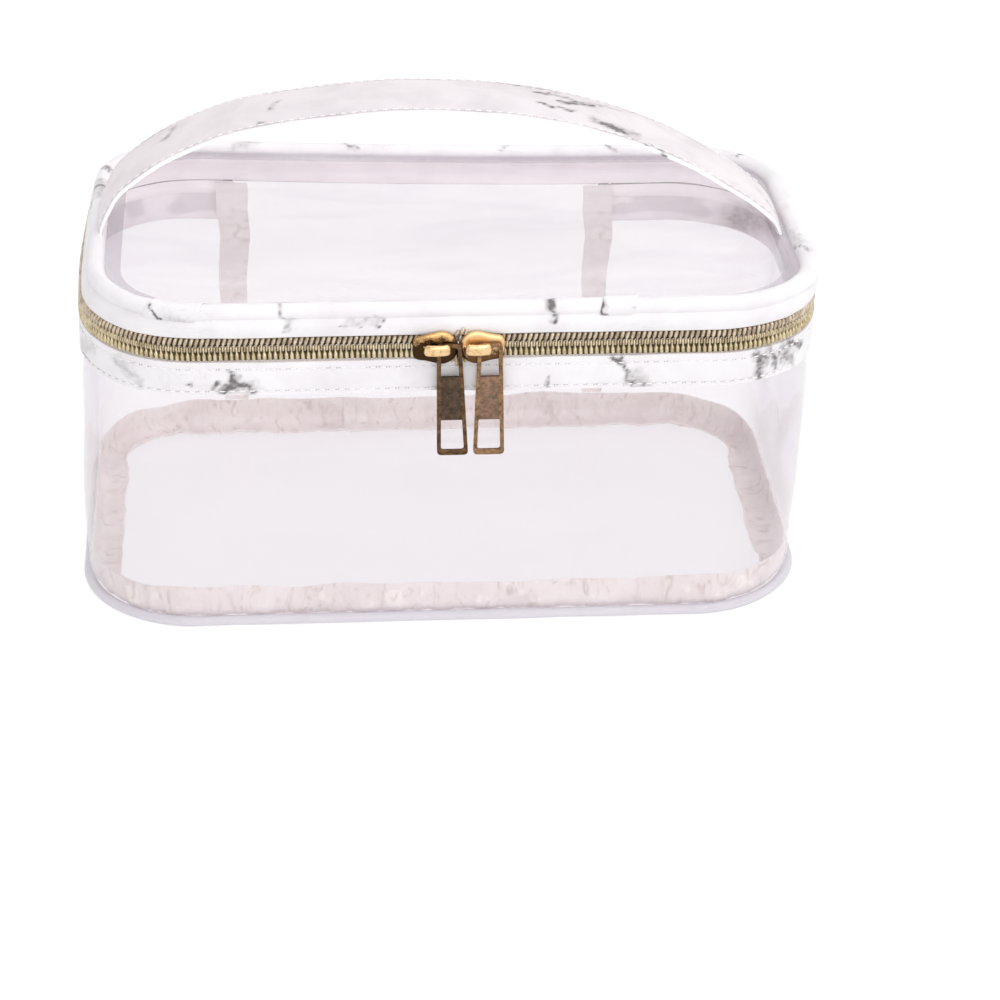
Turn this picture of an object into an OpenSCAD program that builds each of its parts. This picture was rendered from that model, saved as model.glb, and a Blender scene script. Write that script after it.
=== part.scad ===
// Makeup train case: a soft see-through case with marble-print trim, a zipped lid with two
// sliders, and a flat strap handle over the lid. Millimetres, +Z up, front towards -Y.

/* [Case] */
// Outside length, over the zipper chain
case_l = 250; // [180:1:320]
// Outside depth, over the zipper chain
case_w = 150; // [100:1:200]
// Height to the top of the lid rim
case_h = 120; // [80:1:160]
// Corner radius seen from above
corner_r = 40; // [25:1:60]
// Thickness of the clear sheet
sheet_t = 0.6; // [0.4:0.1:1.2]
// Thickness of the marble-print trim
trim_t = 0.8; // [0.6:0.1:1.4]

/* [Floor] */
// Diameter of the bead round the bottom edge
foot_d = 3; // [2:0.5:5]
// Width of the seam tape lying on the floor
floor_tape_w = 10; // [6:1:16]
// Height of the seam tape up the wall
wall_tape_h = 11; // [6:1:16]
// Thickness of one seam tape layer
tape_t = 0.8; // [0.5:0.1:1.2]
// Length of the tape overlap at the front
lap_l = 9; // [5:1:16]
// Where the tape overlap starts at the rear, from the middle
lap_x = -31; // [-70:1:70]

/* [Rear panel] */
// Distance of the left rear seam from the middle
seam_left = 74; // [50:1:80]
// Distance of the right rear seam from the middle
seam_right = 62; // [50:1:80]
// Width of the tape on each rear seam
seam_w = 11; // [8:1:16]

/* [Zipper] */
// Height of the line where the two rows of teeth meet
zip_z = 104.7; // [80:0.1:140]
// Height of one row of teeth
row_h = 4.2; // [3:0.1:6]
// Space between the two rows
row_gap = 1; // [0.8:0.1:1.6]
// Depth of the teeth, front to back
row_t = 3; // [2.4:0.1:4]
// Height of the marble-print band under the zipper
band_h = 11.7; // [8:0.1:20]

/* [Lid] */
// Diameter of the bead round the lid rim
rim_d = 6; // [4:0.5:8]
// Width of the tape under the edge of the lid sheet
lid_tape_w = 6; // [4:1:12]
// Left end of the joint sleeve on the rim, degrees round the corner
sleeve_a = 24; // [5:1:40]
// How far round the corner the left joint sleeve runs, degrees
sleeve_sweep = 32; // [10:1:60]
// Start of the right joint sleeve on the rim, from the middle
sleeve_x = 49; // [20:1:70]
// Length of the right joint sleeve
sleeve_l = 13; // [6:1:20]

/* [Handle] */
// Width of the strap
strap_w = 32; // [20:1:40]
// Thickness of the strap, both layers
strap_t = 2.4; // [1.6:0.2:4]
// Height of the top of the strap above the floor
strap_top = 164.5; // [140:0.5:190]
// Bend radius of the long arch
arch_r = 210; // [150:5:300]
// Bend radius where the strap turns down
bend_r = 20; // [10:1:40]
// Slope of the strap where the tight bend starts, degrees
bend_a = 30.5; // [20:0.5:45]
// Height of the line the handle swings about
swing_z = 120.5; // [118:0.1:126]
// Slope cut under each strap end so that it can swing, degrees
swing_cut = 33; // [20:1:50]

/* [Sliders] */
// Length of one slider along the zipper
slider_l = 14.4; // [10:0.1:20]
// Height of the slider plates
slider_h = 11; // [9:0.1:14]
// Where the two sliders meet, from the middle
meet_x = 3; // [-20:0.1:20]
// Gap between slider and teeth
slider_gap = 0.3; // [0.2:0.05:0.5]
// Thickness of the front plate
plate_t = 1.5; // [1:0.1:2.5]
// Diameter of the bail wire
bail_d = 1.6; // [1.2:0.1:2.4]
// Length of the bail between its legs
bail_l = 7.8; // [6:0.1:12]
// Bail leg the left pull hangs on, from its slider's middle
left_leg = 4; // [1:0.1:5]
// Bail leg the right pull hangs on, from its slider's middle
right_leg = 2.8; // [1:0.1:5]

/* [Pulls] */
// Width of a pull tab at its foot
pull_w = 10.4; // [7:0.1:12]
// Width of a pull tab at its eye
pull_top_w = 8.2; // [6:0.1:11]
// Length of a pull tab
pull_l = 41; // [30:1:50]
// Thickness of a pull tab
pull_t = 1.4; // [1:0.1:2]
// Width of the eye the bail passes through
eye_w = 5.4; // [4:0.1:8]
// Height of the eye
eye_h = 9.2; // [6:0.1:12]
// Height of the solid plate under the eye
plate_h = 15.7; // [8:0.1:24]

/* [Hidden] */

marble = [0.93, 0.92, 0.93];
lining = [0.90, 0.87, 0.87];
tape_tone = [0.86, 0.82, 0.79];
clear_tone = [0.93, 0.95, 0.98, 0.3];
gold = [0.72, 0.56, 0.33];
teeth_tone = [0.55, 0.49, 0.30];
eps = 0.01;
// plan insets, measured inward from the outline over the teeth
trim_in = 0.4;
tape_in = trim_in + trim_t;
zip_tape_t = 0.6;
sheet_in = tape_in + zip_tape_t;
seam_in = sheet_in + sheet_t;
foot_in = 0.2 + foot_d / 2;
rim_in = 0.2 + rim_d / 2;
// heights
row_low = zip_z - row_gap / 2 - row_h;
row_high = zip_z + row_gap / 2 + row_h;
rim_z = case_h - rim_d / 2;
lid_z = rim_z - sheet_t / 2;
lid_tape_t = 0.6;
stop_l = 4;
stop_gap = 0.4;
// zipper front face
face_y = -case_w / 2;
back_y = face_y + row_t;
plate_y = face_y - slider_gap - plate_t;
back_plate_gap = 0.8;
back_plate_t = 1;
web_t = 0.4;
web_l = 7;
nose_gap = 0.3;
left_x = meet_x - nose_gap / 2 - slider_l / 2;
right_x = meet_x + nose_gap / 2 + slider_l / 2;
pull_gap = 0.4;
bail_y = plate_y - pull_gap - pull_t - pull_gap - bail_d / 2;
bar_clear = 0.2;
frame_w = 1.9;
cross_h = 1.4;
plate_round = 1.6;
pull_cut = 0.9;
// handle
arch_z = strap_top - strap_t / 2 - arch_r;
bend_x = (arch_r - bend_r) * sin(bend_a);
bend_z = arch_z + (arch_r - bend_r) * cos(bend_a);
end_x = bend_x + bend_r;
anchor_h = 3;
anchor_gap = 0.3;
anchor_foot = 3;

// rounded rectangle outline at an inset from the case outline
module outline(inset = 0) {
  l = case_l - 2 * inset;
  w = case_w - 2 * inset;
  r = corner_r - inset;
  square([l - 2 * r, w], center = true);
  square([l, w - 2 * r], center = true);
  for (sx = [-1, 1], sy = [-1, 1])
    translate([sx * (l / 2 - r), sy * (w / 2 - r)]) circle(r, $fn = 96);
}

// upright strip following the outline
module strip(inset, thick, z0, z1) {
  translate([0, 0, z0]) linear_extrude(z1 - z0) difference() {
    outline(inset);
    outline(inset + thick);
  }
}

// x of the left (-1) or right (1) rear seam
function seam_at(side) = side < 0 ? -seam_left : seam_right;

// a strip without the stretch across the rear panel
module front_part(z0, z1, gap = 0) {
  difference() {
    children();
    translate([-seam_left + gap, case_w / 4, z0 - 1])
      cube([seam_left + seam_right - 2 * gap, case_w / 2, z1 - z0 + 2]);
  }
}

// only the stretch of a strip across the rear panel
module rear_part(z0, z1, gap = 0) {
  intersection() {
    children();
    translate([-seam_left + gap, case_w / 4, z0 - 1])
      cube([seam_left + seam_right - 2 * gap, case_w / 2, z1 - z0 + 2]);
  }
}

// round bead following the outline, its centre line at the inset
module bead(inset, d, z) {
  l = case_l / 2 - corner_r;
  w = case_w / 2 - corner_r;
  r = corner_r - inset;
  translate([0, 0, z]) {
    for (s = [-1, 1]) {
      translate([-l, s * (case_w / 2 - inset), 0]) rotate([0, 90, 0])
        cylinder(h = 2 * l, d = d, $fn = 48);
      translate([s * (case_l / 2 - inset), -w, 0]) rotate([-90, 0, 0])
        cylinder(h = 2 * w, d = d, $fn = 48);
    }
    for (c = [[1, 1, 0], [-1, 1, 90], [-1, -1, 180], [1, -1, 270]])
      translate([c[0] * l, c[1] * w, 0]) rotate([0, 0, c[2]])
        rotate_extrude(angle = 90, $fn = 96) translate([r, 0]) circle(d = d, $fn = 48);
  }
}

// ---- case body ----

module bottom_panel() {
  color(clear_tone) linear_extrude(sheet_t) outline(0.2 + foot_d);
}

module bottom_piping() {
  color(clear_tone) bead(foot_in, foot_d, foot_d / 2);
}

module bottom_tape() {
  inner = 0.3 + foot_d;
  color(tape_tone) union() {
    strip(inner, tape_t, sheet_t, foot_d);
    strip(seam_in, inner + tape_t - seam_in, foot_d, wall_tape_h);
    strip(inner + tape_t - eps, floor_tape_w, sheet_t, sheet_t + tape_t);
  }
}

module bottom_tape_lap() {
  inner = 0.3 + foot_d + tape_t;
  color(tape_tone)
    translate([lap_x, case_w / 2 - inner - floor_tape_w + 1, sheet_t + tape_t])
      cube([lap_l, floor_tape_w - 1, tape_t]);
}

module wall_panel() {
  top = row_low - 1;
  color(clear_tone) front_part(foot_d, top)
    strip(sheet_in, sheet_t, foot_d, top);
}

module rear_panel() {
  top = zip_z - row_gap / 2;
  color(clear_tone) rear_part(foot_d, top, 0.05)
    strip(sheet_in, sheet_t, foot_d, top);
}

module wall_band() {
  color(marble) front_part(row_low - band_h, row_low)
    strip(trim_in, trim_t, row_low - band_h, row_low);
}

module rear_seam(side) {
  color(tape_tone)
    translate([seam_at(side) - seam_w / 2, case_w / 2 - seam_in - tape_t, wall_tape_h + 0.2])
      cube([seam_w, tape_t, row_low - wall_tape_h - 0.4]);
}

module lower_zip_tape() {
  color(lining) front_part(row_low - band_h, row_low)
    strip(tape_in, zip_tape_t, row_low - band_h, row_low);
}

module teeth_row(z0) {
  color(teeth_tone) front_part(z0, z0 + row_h, -stop_l - stop_gap)
    strip(0, row_t, z0, z0 + row_h);
}

module lower_teeth() {
  teeth_row(row_low);
}

module zip_stop(side) {
  color(gold)
    translate([seam_at(side) + side * stop_l / 2 - stop_l / 2, case_w / 2 - row_t, row_low])
      cube([stop_l, row_t, row_h]);
}

// ---- lid ----

module lid_panel() {
  color(clear_tone) translate([0, 0, lid_z]) linear_extrude(sheet_t) outline(0.2 + rim_d);
}

module lid_rim() {
  color(marble) bead(rim_in, rim_d, rim_z);
}

module rim_sleeve_left() {
  l = case_l / 2 - corner_r;
  w = case_w / 2 - corner_r;
  color(marble) translate([-l, -w, rim_z]) rotate([0, 0, 270 - sleeve_a - sleeve_sweep / 2])
    rotate_extrude(angle = sleeve_sweep, $fn = 96) translate([corner_r - rim_in, 0])
      difference() {
        circle(d = rim_d + 2 * zip_tape_t, $fn = 48);
        circle(d = rim_d, $fn = 48);
        translate([-rim_d, -rim_d]) square([2 * rim_d, rim_d + sheet_t]);
      }
}

module rim_sleeve_right() {
  color(marble) translate([sleeve_x, face_y + rim_in, rim_z]) rotate([90, 0, 90])
    linear_extrude(sleeve_l) difference() {
      circle(d = rim_d + 2 * zip_tape_t, $fn = 48);
      circle(d = rim_d, $fn = 48);
      translate([-rim_d, -rim_d]) square([2 * rim_d, rim_d + sheet_t]);
    }
}

module lid_tape() {
  color(lining) strip(0.2 + rim_d, lid_tape_w, lid_z - lid_tape_t, lid_z);
}

module lid_band() {
  color(marble) strip(trim_in, trim_t, row_high, rim_z - rim_d / 2 + 0.2);
}

module hinge_strip() {
  low = zip_z + row_gap / 2;
  color(lining) rear_part(low, row_high, 0.2)
    strip(trim_in, trim_t + zip_tape_t, low, row_high);
}

module upper_zip_tape() {
  color(lining) strip(tape_in, zip_tape_t, row_high, rim_z - rim_d / 2 + 0.2);
}

module upper_teeth() {
  teeth_row(zip_z + row_gap / 2);
}

module handle_anchor(side) {
  top = swing_z - anchor_gap;
  color(marble) translate([0, -strap_w / 2, 0]) {
    translate([side * end_x - strap_t / 2, 0, lid_z + sheet_t])
      cube([strap_t, strap_w, top - lid_z - sheet_t]);
    translate([side * (end_x - strap_t / 2 - anchor_foot / 2) - anchor_foot / 2, 0,
               lid_z + sheet_t])
      cube([anchor_foot, strap_w, trim_t]);
  }
}

// ---- handle ----

// side view of one strap layer, offset from the middle line by near..far
module strap_profile(near, far) {
  intersection() {
    translate([0, arch_z]) difference() {
      circle(arch_r + far, $fn = 360);
      circle(arch_r + near, $fn = 360);
    }
    translate([0, arch_z])
      polygon([[0, 0], [2 * arch_r * sin(bend_a), 2 * arch_r * cos(bend_a)],
               [-2 * arch_r * sin(bend_a), 2 * arch_r * cos(bend_a)]]);
  }
  for (s = [-1, 1]) intersection() {
    translate([s * bend_x, bend_z]) difference() {
      circle(bend_r + far, $fn = 96);
      circle(bend_r + near, $fn = 96);
    }
    translate([s * bend_x, bend_z])
      polygon([[0, 0], [s * 3 * bend_r, 0], [s * 3 * bend_r, 3 * bend_r],
               [s * 3 * bend_r * sin(bend_a), 3 * bend_r * cos(bend_a)]]);
  }
}

module strap_layer(near, far) {
  rise = strap_w * tan(swing_cut);
  difference() {
    rotate([90, 0, 0]) linear_extrude(strap_w, center = true) strap_profile(near, far);
    translate([-case_l / 2, 0, swing_z]) rotate([90, 0, 90]) linear_extrude(case_l)
      polygon([[0, 0], [strap_w, rise], [strap_w, -rise], [-strap_w, -rise], [-strap_w, rise]]);
  }
}

module handle_strap() {
  color(marble) strap_layer(0, strap_t / 2);
}

module handle_lining() {
  color(lining) strap_layer(-strap_t / 2, 0);
}

// ---- sliders and pulls ----

module slider_body(x) {
  color(gold) translate([x, 0, zip_z]) {
    translate([0, plate_y + plate_t, 0]) rotate([90, 0, 0]) linear_extrude(plate_t)
      plate_outline();
    translate([0, back_y + back_plate_gap + back_plate_t, 0]) rotate([90, 0, 0])
      linear_extrude(back_plate_t) plate_outline();
    translate([-web_l / 2, plate_y + eps, -web_t / 2])
      cube([web_l, back_y + back_plate_gap + back_plate_t - plate_y - 2 * eps, web_t]);
  }
}

module plate_outline() {
  w = slider_l / 2 - plate_round;
  h = slider_h / 2 - plate_round;
  square([slider_l - 2 * plate_round, slider_h], center = true);
  square([slider_l, slider_h - 2 * plate_round], center = true);
  for (sx = [-1, 1], sy = [-1, 1]) translate([sx * w, sy * h]) circle(plate_round, $fn = 32);
}

module bail(leg_x) {
  color(gold) translate([leg_x, 0, zip_z]) {
    for (s = [0, -bail_l]) translate([s, bail_y, 0]) rotate([-90, 0, 0])
      cylinder(h = plate_y - bail_y, d = bail_d, $fn = 32);
    translate([-bail_l, bail_y, 0]) rotate([0, 90, 0])
      cylinder(h = bail_l, d = bail_d, $fn = 32);
    for (s = [0, -bail_l]) translate([s, bail_y, 0]) sphere(d = bail_d, $fn = 32);
  }
}

module pull(leg_x) {
  top = bail_d / 2 + bar_clear + cross_h;
  tip = top - pull_l;
  eye_low = top - cross_h - eye_h;
  t = pull_top_w / 2;
  w = pull_w / 2;
  c = pull_cut;
  color(gold)
    translate([leg_x, plate_y - pull_gap, zip_z]) rotate([90, 0, 0])
      linear_extrude(pull_t) difference() {
        polygon([[t - c, top], [t, top - c], [w, tip + c], [w - c, tip],
                 [c - w, tip], [-w, tip + c], [-t, top - c], [c - t, top]]);
        translate([-eye_w / 2, eye_low]) square([eye_w, eye_h]);
        translate([-w + frame_w, tip + frame_w])
          square([pull_w - 2 * frame_w, eye_low - plate_h - tip - frame_w]);
      }
}

bottom_panel();
bottom_piping();
bottom_tape();
bottom_tape_lap();
wall_panel();
rear_panel();
wall_band();
rear_seam(-1);  // rear_seam_left
rear_seam(1);  // rear_seam_right
lower_zip_tape();
lower_teeth();
zip_stop(-1);  // zip_stop_left
zip_stop(1);  // zip_stop_right
lid_panel();
lid_rim();
rim_sleeve_left();
rim_sleeve_right();
lid_tape();
lid_band();
hinge_strip();
upper_zip_tape();
upper_teeth();
handle_anchor(-1);  // handle_anchor_left
handle_anchor(1);  // handle_anchor_right
handle_strap();
handle_lining();
slider_body(left_x);  // slider_left
bail(left_x + left_leg);  // bail_left
pull(left_x + left_leg);  // pull_left
slider_body(right_x);  // slider_right
bail(right_x + right_leg);  // bail_right
pull(right_x + right_leg);  // pull_right
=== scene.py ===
"""Makeup train case: clear vinyl walls and lid, marble-print trim, a zipped lid and a flat strap.

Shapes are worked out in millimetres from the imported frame's boxes and written in metres. A ring of
trim is described by s, the distance round the case outline from the front middle (positive to the
right), by its inset from the zipper's outer face, and by its height.
"""

import math

import bmesh
import bpy
import numpy as np
from mathutils import Matrix, Vector


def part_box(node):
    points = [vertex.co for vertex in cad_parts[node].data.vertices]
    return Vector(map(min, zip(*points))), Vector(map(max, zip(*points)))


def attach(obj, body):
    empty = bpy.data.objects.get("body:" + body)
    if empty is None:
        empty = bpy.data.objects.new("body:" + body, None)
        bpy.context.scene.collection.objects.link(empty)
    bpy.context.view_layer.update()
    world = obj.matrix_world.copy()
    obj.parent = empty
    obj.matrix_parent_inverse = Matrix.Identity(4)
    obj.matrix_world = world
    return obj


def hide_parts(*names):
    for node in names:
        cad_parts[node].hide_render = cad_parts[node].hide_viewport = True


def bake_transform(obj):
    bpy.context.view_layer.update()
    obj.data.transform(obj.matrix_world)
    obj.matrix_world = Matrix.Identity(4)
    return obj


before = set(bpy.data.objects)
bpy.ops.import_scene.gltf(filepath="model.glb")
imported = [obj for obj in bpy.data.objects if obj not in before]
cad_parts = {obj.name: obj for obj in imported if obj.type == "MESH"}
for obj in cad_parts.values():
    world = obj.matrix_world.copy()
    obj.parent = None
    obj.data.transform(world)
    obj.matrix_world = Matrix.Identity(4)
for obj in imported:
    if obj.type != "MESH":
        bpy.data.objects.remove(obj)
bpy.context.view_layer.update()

MM = 0.001


def box_mm(node):
    """Lowest and highest corner of a CAD node, in millimetres."""
    return [np.array(corner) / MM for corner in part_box(node)]


def heights(node):
    """Lowest and highest z of a CAD node."""
    return tuple(corner[2] for corner in box_mm(node))


# ---- sizes, all in millimetres ----

ROW_LOW, ROW_TOP = box_mm("lower_teeth")
HALF_X, HALF_Y = ROW_TOP[0], ROW_TOP[1]
CORNER = 40.0  # radius of the corners, at the zipper's outer face
STRAIGHT_X, STRAIGHT_Y = HALF_X - CORNER, HALF_Y - CORNER
ARC = CORNER * math.pi / 2
LOOP = 4 * (STRAIGHT_X + STRAIGHT_Y + ARC)

LOWER_ROW = (ROW_LOW[2], ROW_TOP[2])
UPPER_ROW = heights("upper_teeth")
ZIP_Z = (LOWER_ROW[1] + UPPER_ROW[0]) / 2
BAND = heights("wall_band")
RIM_LOW, RIM_TOP = heights("lid_rim")
RIM_R, RIM_Z = (RIM_TOP - RIM_LOW) / 2, (RIM_TOP + RIM_LOW) / 2
RIM_IN = RIM_R + HALF_X - box_mm("lid_rim")[1][0]
LEFT_SEAM_X = np.mean([corner[0] for corner in box_mm("rear_seam_left")])
RIGHT_SEAM_X = np.mean([corner[0] for corner in box_mm("rear_seam_right")])
LEFT_SEAM = -LOOP / 2 - LEFT_SEAM_X
RIGHT_SEAM = LOOP / 2 - RIGHT_SEAM_X
FOOT_R = box_mm("bottom_piping")[1][2] / 2
FOOT_IN = FOOT_R + HALF_X - box_mm("bottom_piping")[1][0]
STRAP_W = np.ptp([corner[1] for corner in box_mm("handle_strap")])
# thicknesses, then how far in from the outline the middles of trim, zipper tape and vinyl stand
TRIM_T, TAPE_T, SHEET_T, BINDING_T = 0.8, 0.6, 0.55, 0.75
TRIM_IN, ZIP_TAPE_IN, SHEET_IN = 0.8, 1.5, 2.1
TOOTH_PITCH = 1.8
STEP = 2.5  # distance between the stations of a coarse ring
# how far the soft case leans right at the zipper, its rim past that, and its rear sags (in the
# middle, more to the right, and by the bow of the rear edge)
LEAN, RIM_LEAN = 2.8, 2.2
SAG, SAG_RIGHT, SAG_BOW = 2.6, 3.0, 2.2


def plan(s, inset):
    """x and y of points at s round the outline and at an inset from it."""
    s, inset = np.broadcast_arrays(np.asarray(s, float), np.asarray(inset, float))
    s = (s + LOOP / 2) % LOOP - LOOP / 2
    side, run = np.where(s < 0, -1.0, 1.0), np.abs(s)
    ends = np.cumsum([STRAIGHT_X, ARC, 2 * STRAIGHT_Y, ARC])
    front, rear = (run - ends[0]) / CORNER, (run - ends[2]) / CORNER
    r = CORNER - inset
    spots = [run <= ends[0], run <= ends[1], run <= ends[2], run <= ends[3]]
    x = np.select(spots, [run, STRAIGHT_X + r * np.sin(front), HALF_X - inset,
                          STRAIGHT_X + r * np.cos(rear)], STRAIGHT_X - (run - ends[3]))
    y = np.select(spots, [inset - HALF_Y, -STRAIGHT_Y - r * np.cos(front),
                          run - ends[1] - STRAIGHT_Y, STRAIGHT_Y + r * np.sin(rear)],
                  HALF_Y - inset)
    return side * x, y


def ramp(value, start, length):
    """From 0 at start up to 1 a length further on; a negative length puts the 1 before start."""
    return np.clip((value - start) / length, 0, 1)


def settle(points):
    """How the soft case stands: its rear sags, its top leans right, and its foot spreads."""
    x, y, z = np.moveaxis(np.asarray(points, float), -1, 0)
    high = ramp(z, 20, 80)
    back = ramp(y, -HALF_Y, 2 * HALF_Y)
    across = x / HALF_X
    low = ramp(z, 60, -60)
    sag = SAG + SAG_RIGHT * across + SAG_BOW * (1 - across ** 2)
    top = ramp(z, ZIP_Z + 1.5, 9)
    left_bulge = 2.0 * np.clip(-across, 0, 1) ** 4 * np.exp(-((y + 8) / 42) ** 2)
    lean = LEAN * high + RIM_LEAN * top - left_bulge * high * (1 - 0.8 * top)
    narrow = 0.003 * high + 0.020 * top * np.clip(across, 0, 1)
    return np.stack([x * (1 + 0.004 * low - narrow) + lean, y * (1 + 0.02 * low),
                     z - high * back * sag], -1)


def bumps(along, across, size, seed, waves=14):
    """Smooth unevenness about size across, mostly within -1.4 to 1.4, repeating round the case."""
    rng = np.random.default_rng(seed)
    total = np.zeros(np.broadcast(along, across).shape)
    for _ in range(waves):
        angle, pitch = rng.uniform(0, 2 * math.pi), size * rng.uniform(0.7, 1.5)
        turns = round(LOOP * math.cos(angle) / pitch)
        phase = rng.uniform(0, 2 * math.pi)
        total += np.sin(2 * math.pi * (turns * along / LOOP + across * math.sin(angle) / pitch)
                        + phase)
    return total / math.sqrt(waves)


def wander(along, size, seed):
    """Unevenness that changes only along a line."""
    return bumps(along, 0 * along, size, seed)


def veins(along, across, marks, seed):
    """Grey of the marble print, 0 to 1, and of painted shade where the marks stand for shade. A mark is
    (width, strength, points it runs through).
    """
    a = along + 0.9 * bumps(along, across, 7, seed) + 0.45 * bumps(along, across, 2.2, seed + 1)
    b = across + 0.7 * bumps(along, across, 6, seed + 2) + 0.4 * bumps(along, across, 2.2, seed + 3)
    grey = np.zeros(np.broadcast(along, across).shape)
    for width, strength, line in marks:
        for (a0, b0), (a1, b1) in zip(line, line[1:] or line):
            length = max((a1 - a0) ** 2 + (b1 - b0) ** 2, 1e-6)
            t = np.clip(((a - a0) * (a1 - a0) + (b - b0) * (b1 - b0)) / length, 0, 1)
            gap = np.hypot(a - a0 - t * (a1 - a0), b - b0 - t * (b1 - b0))
            grey = np.maximum(grey, strength * np.exp(-(gap / width) ** 2))
    return np.clip(grey * (0.95 + 0.25 * bumps(along, across, 2.0, seed + 4)), 0, 1)


# ---- mesh making ----

def make_piece(name, points, faces, materials, uv=None, slots=None, grey=None, crease=35):
    """A mesh object from points in millimetres; uv is one pair for each face corner."""
    mesh = bpy.data.meshes.new(name)
    mesh.from_pydata((np.asarray(points).reshape(-1, 3) * MM).tolist(), [], faces)
    for material in materials:
        mesh.materials.append(material)
    if slots is not None:
        mesh.polygons.foreach_set("material_index", np.asarray(slots, np.int32))
    if uv is not None:
        layer = mesh.uv_layers.new(name="strip")
        layer.data.foreach_set("uv", (np.asarray(uv) / 100).astype(np.float32).ravel())
    if grey is not None:
        attribute = mesh.attributes.new("grey", "FLOAT", "POINT")
        attribute.data.foreach_set("value", np.asarray(grey, np.float32).ravel())
    work = bmesh.new()
    work.from_mesh(mesh)
    bmesh.ops.remove_doubles(work, verts=work.verts, dist=1e-7)
    bmesh.ops.recalc_face_normals(work, faces=work.faces)
    work.to_mesh(mesh)
    work.free()
    mesh.shade_smooth()
    mesh.set_sharp_from_angle(angle=math.radians(crease))
    piece = bpy.data.objects.new(name, mesh)
    bpy.context.scene.collection.objects.link(piece)
    return piece


def loft(name, points, materials, closed=False, along=None, sides=None, grey=None, crease=35):
    """A skin over points[station, section point], where each section is a closed loop."""
    n, m = points.shape[:2]
    i = np.arange(n if closed else n - 1)[:, None]
    j = np.arange(m)[None, :]
    corners = [(i, j), (i, j + 1), (i + 1, j + 1), (i + 1, j)]
    quads = np.stack([(a % n) * m + b % m for a, b in corners], -1).reshape(-1, 4)
    first = points[n // 2]
    step = np.linalg.norm(np.roll(first, -1, 0) - first, axis=1)
    round_it = np.concatenate([[0], np.cumsum(step)])
    if along is None:
        along = np.arange(n + 1.0)
    along = np.append(along, 2 * along[-1] - along[-2])
    uv = np.stack([np.stack(np.broadcast_arrays(along[a], round_it[b]), -1)
                   for a, b in corners], -2).reshape(-1, 2)
    faces = quads.tolist()
    slots = np.tile(np.zeros(m, int) if sides is None else sides, len(i))
    if not closed:
        faces += [list(range(m)), list(range((n - 1) * m, n * m))]
        slots = np.append(slots, [0, 0])
        caps = [np.stack([np.full(m, along[k]), round_it[:-1]], -1) for k in (0, n - 1)]
        uv = np.concatenate([uv, *caps])
    return make_piece(name, points, faces, materials, uv, slots, grey, crease)


def thicken(line, thick):
    """Closed section round line[..., point, 2]. On a line drawn upwards the outer side is first."""
    run = unit(np.gradient(line, axis=-2))
    out = np.stack([-run[..., 1], run[..., 0]], -1) * thick / 2
    start = line[..., :1, :] - run[..., :1, :] * thick * 0.3
    end = line[..., -1:, :] + run[..., -1:, :] * thick * 0.3
    return np.concatenate([line + out, end, (line - out)[..., ::-1, :], start], -2)


def ring(name, s, section, materials, closed=False, sides=None, marks=None, seed=0, crease=35):
    """A loft round the case: section[station, point] is (inset, height)."""
    x, y = plan(s[:, None], section[..., 0])
    points = settle(np.stack([x, y, section[..., 1]], -1))
    grey = None
    if marks is not None:
        grey = veins(s[:, None] + 0 * x, section[..., 1] - section[..., 0], marks, seed)
    return loft(name, points, materials, closed, s, sides, grey, crease)


def stations(start, end, step):
    return np.linspace(start, end, round((end - start) / step) + 1)


def all_round(step):
    """Stations right round the case, starting at the rear middle."""
    count = round(LOOP / step)
    return np.arange(count) * LOOP / count - LOOP / 2


def unit(run):
    """Vectors brought to length 1 along the last axis."""
    return run / np.linalg.norm(run, axis=-1, keepdims=True)


def circle(count):
    """Angles of points evenly spaced round a circle."""
    return np.linspace(0, 2 * math.pi, count + 1)[:-1]


def cloth_sides(section, front):
    """Material slots of a closed section: leather on its front points, cloth on the rest."""
    return np.where(np.arange(section.shape[1]) < front, 0, 1)


def upright(s, inset, low, high, rows):
    """A middle line for a strip standing at an inset; inset may be an array over s and height."""
    z = np.linspace(low, high, rows)[None, :] + 0 * s[:, None]
    return np.stack([inset + 0 * z, z], -1)


def scatter(name, shape, spots, place, materials, slots=None, crease=60):
    """Copies of a small shape, (points, faces), at spots (along, up, out, tilt), set by place()."""
    base, faces = shape
    spots = np.asarray(spots, float)
    cos, sin = np.cos(spots[:, 3])[:, None], np.sin(spots[:, 3])[:, None]
    u = spots[:, 0][:, None] + base[:, 0] * cos + base[:, 1] * sin
    v = spots[:, 1][:, None] - base[:, 0] * sin + base[:, 1] * cos
    w = spots[:, 2][:, None] + base[:, 2]
    points = place(u, v, w)
    count = len(base)
    every = [[k * count + c for c in face] for k in range(len(spots)) for face in faces]
    if slots is not None:
        slots = np.tile(slots, len(spots))
    return make_piece(name, points, every, materials, slots=slots, crease=crease)


def on_ring(u, v, w):
    """Points at distance u round the case, height v, and w in from the outline."""
    x, y = plan(u, w)
    return settle(np.stack([x, y, v], -1))


def squared(value, power):
    """A sine or cosine with its sign kept; a power under 1 squares off the circle."""
    return np.sign(value) * np.abs(value) ** power


def pebble(half_u, half_v, half_w, power=2.0, around=8, levels=5):
    """A closed rounded block; a higher power squares it off."""
    points, faces = [(0, -half_v, 0)], []
    for k in range(1, levels):
        lift = math.pi * (k / levels - 0.5)
        wide, tall = squared(math.cos(lift), 2 / power), squared(math.sin(lift), 2 / power)
        points += [(half_u * wide * squared(math.cos(turn), 2 / power), half_v * tall,
                    half_w * wide * squared(math.sin(turn), 2 / power)) for turn in circle(around)]
    points.append((0, half_v, 0))
    last = len(points) - 1
    for a in range(around):
        b = (a + 1) % around
        faces.append([0, 1 + a, 1 + b])
        faces.append([last, last - around + b, last - around + a])
        for k in range(levels - 2):
            low = 1 + k * around
            faces.append([low + a, low + around + a, low + around + b, low + b])
    return np.array(points), faces


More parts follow.
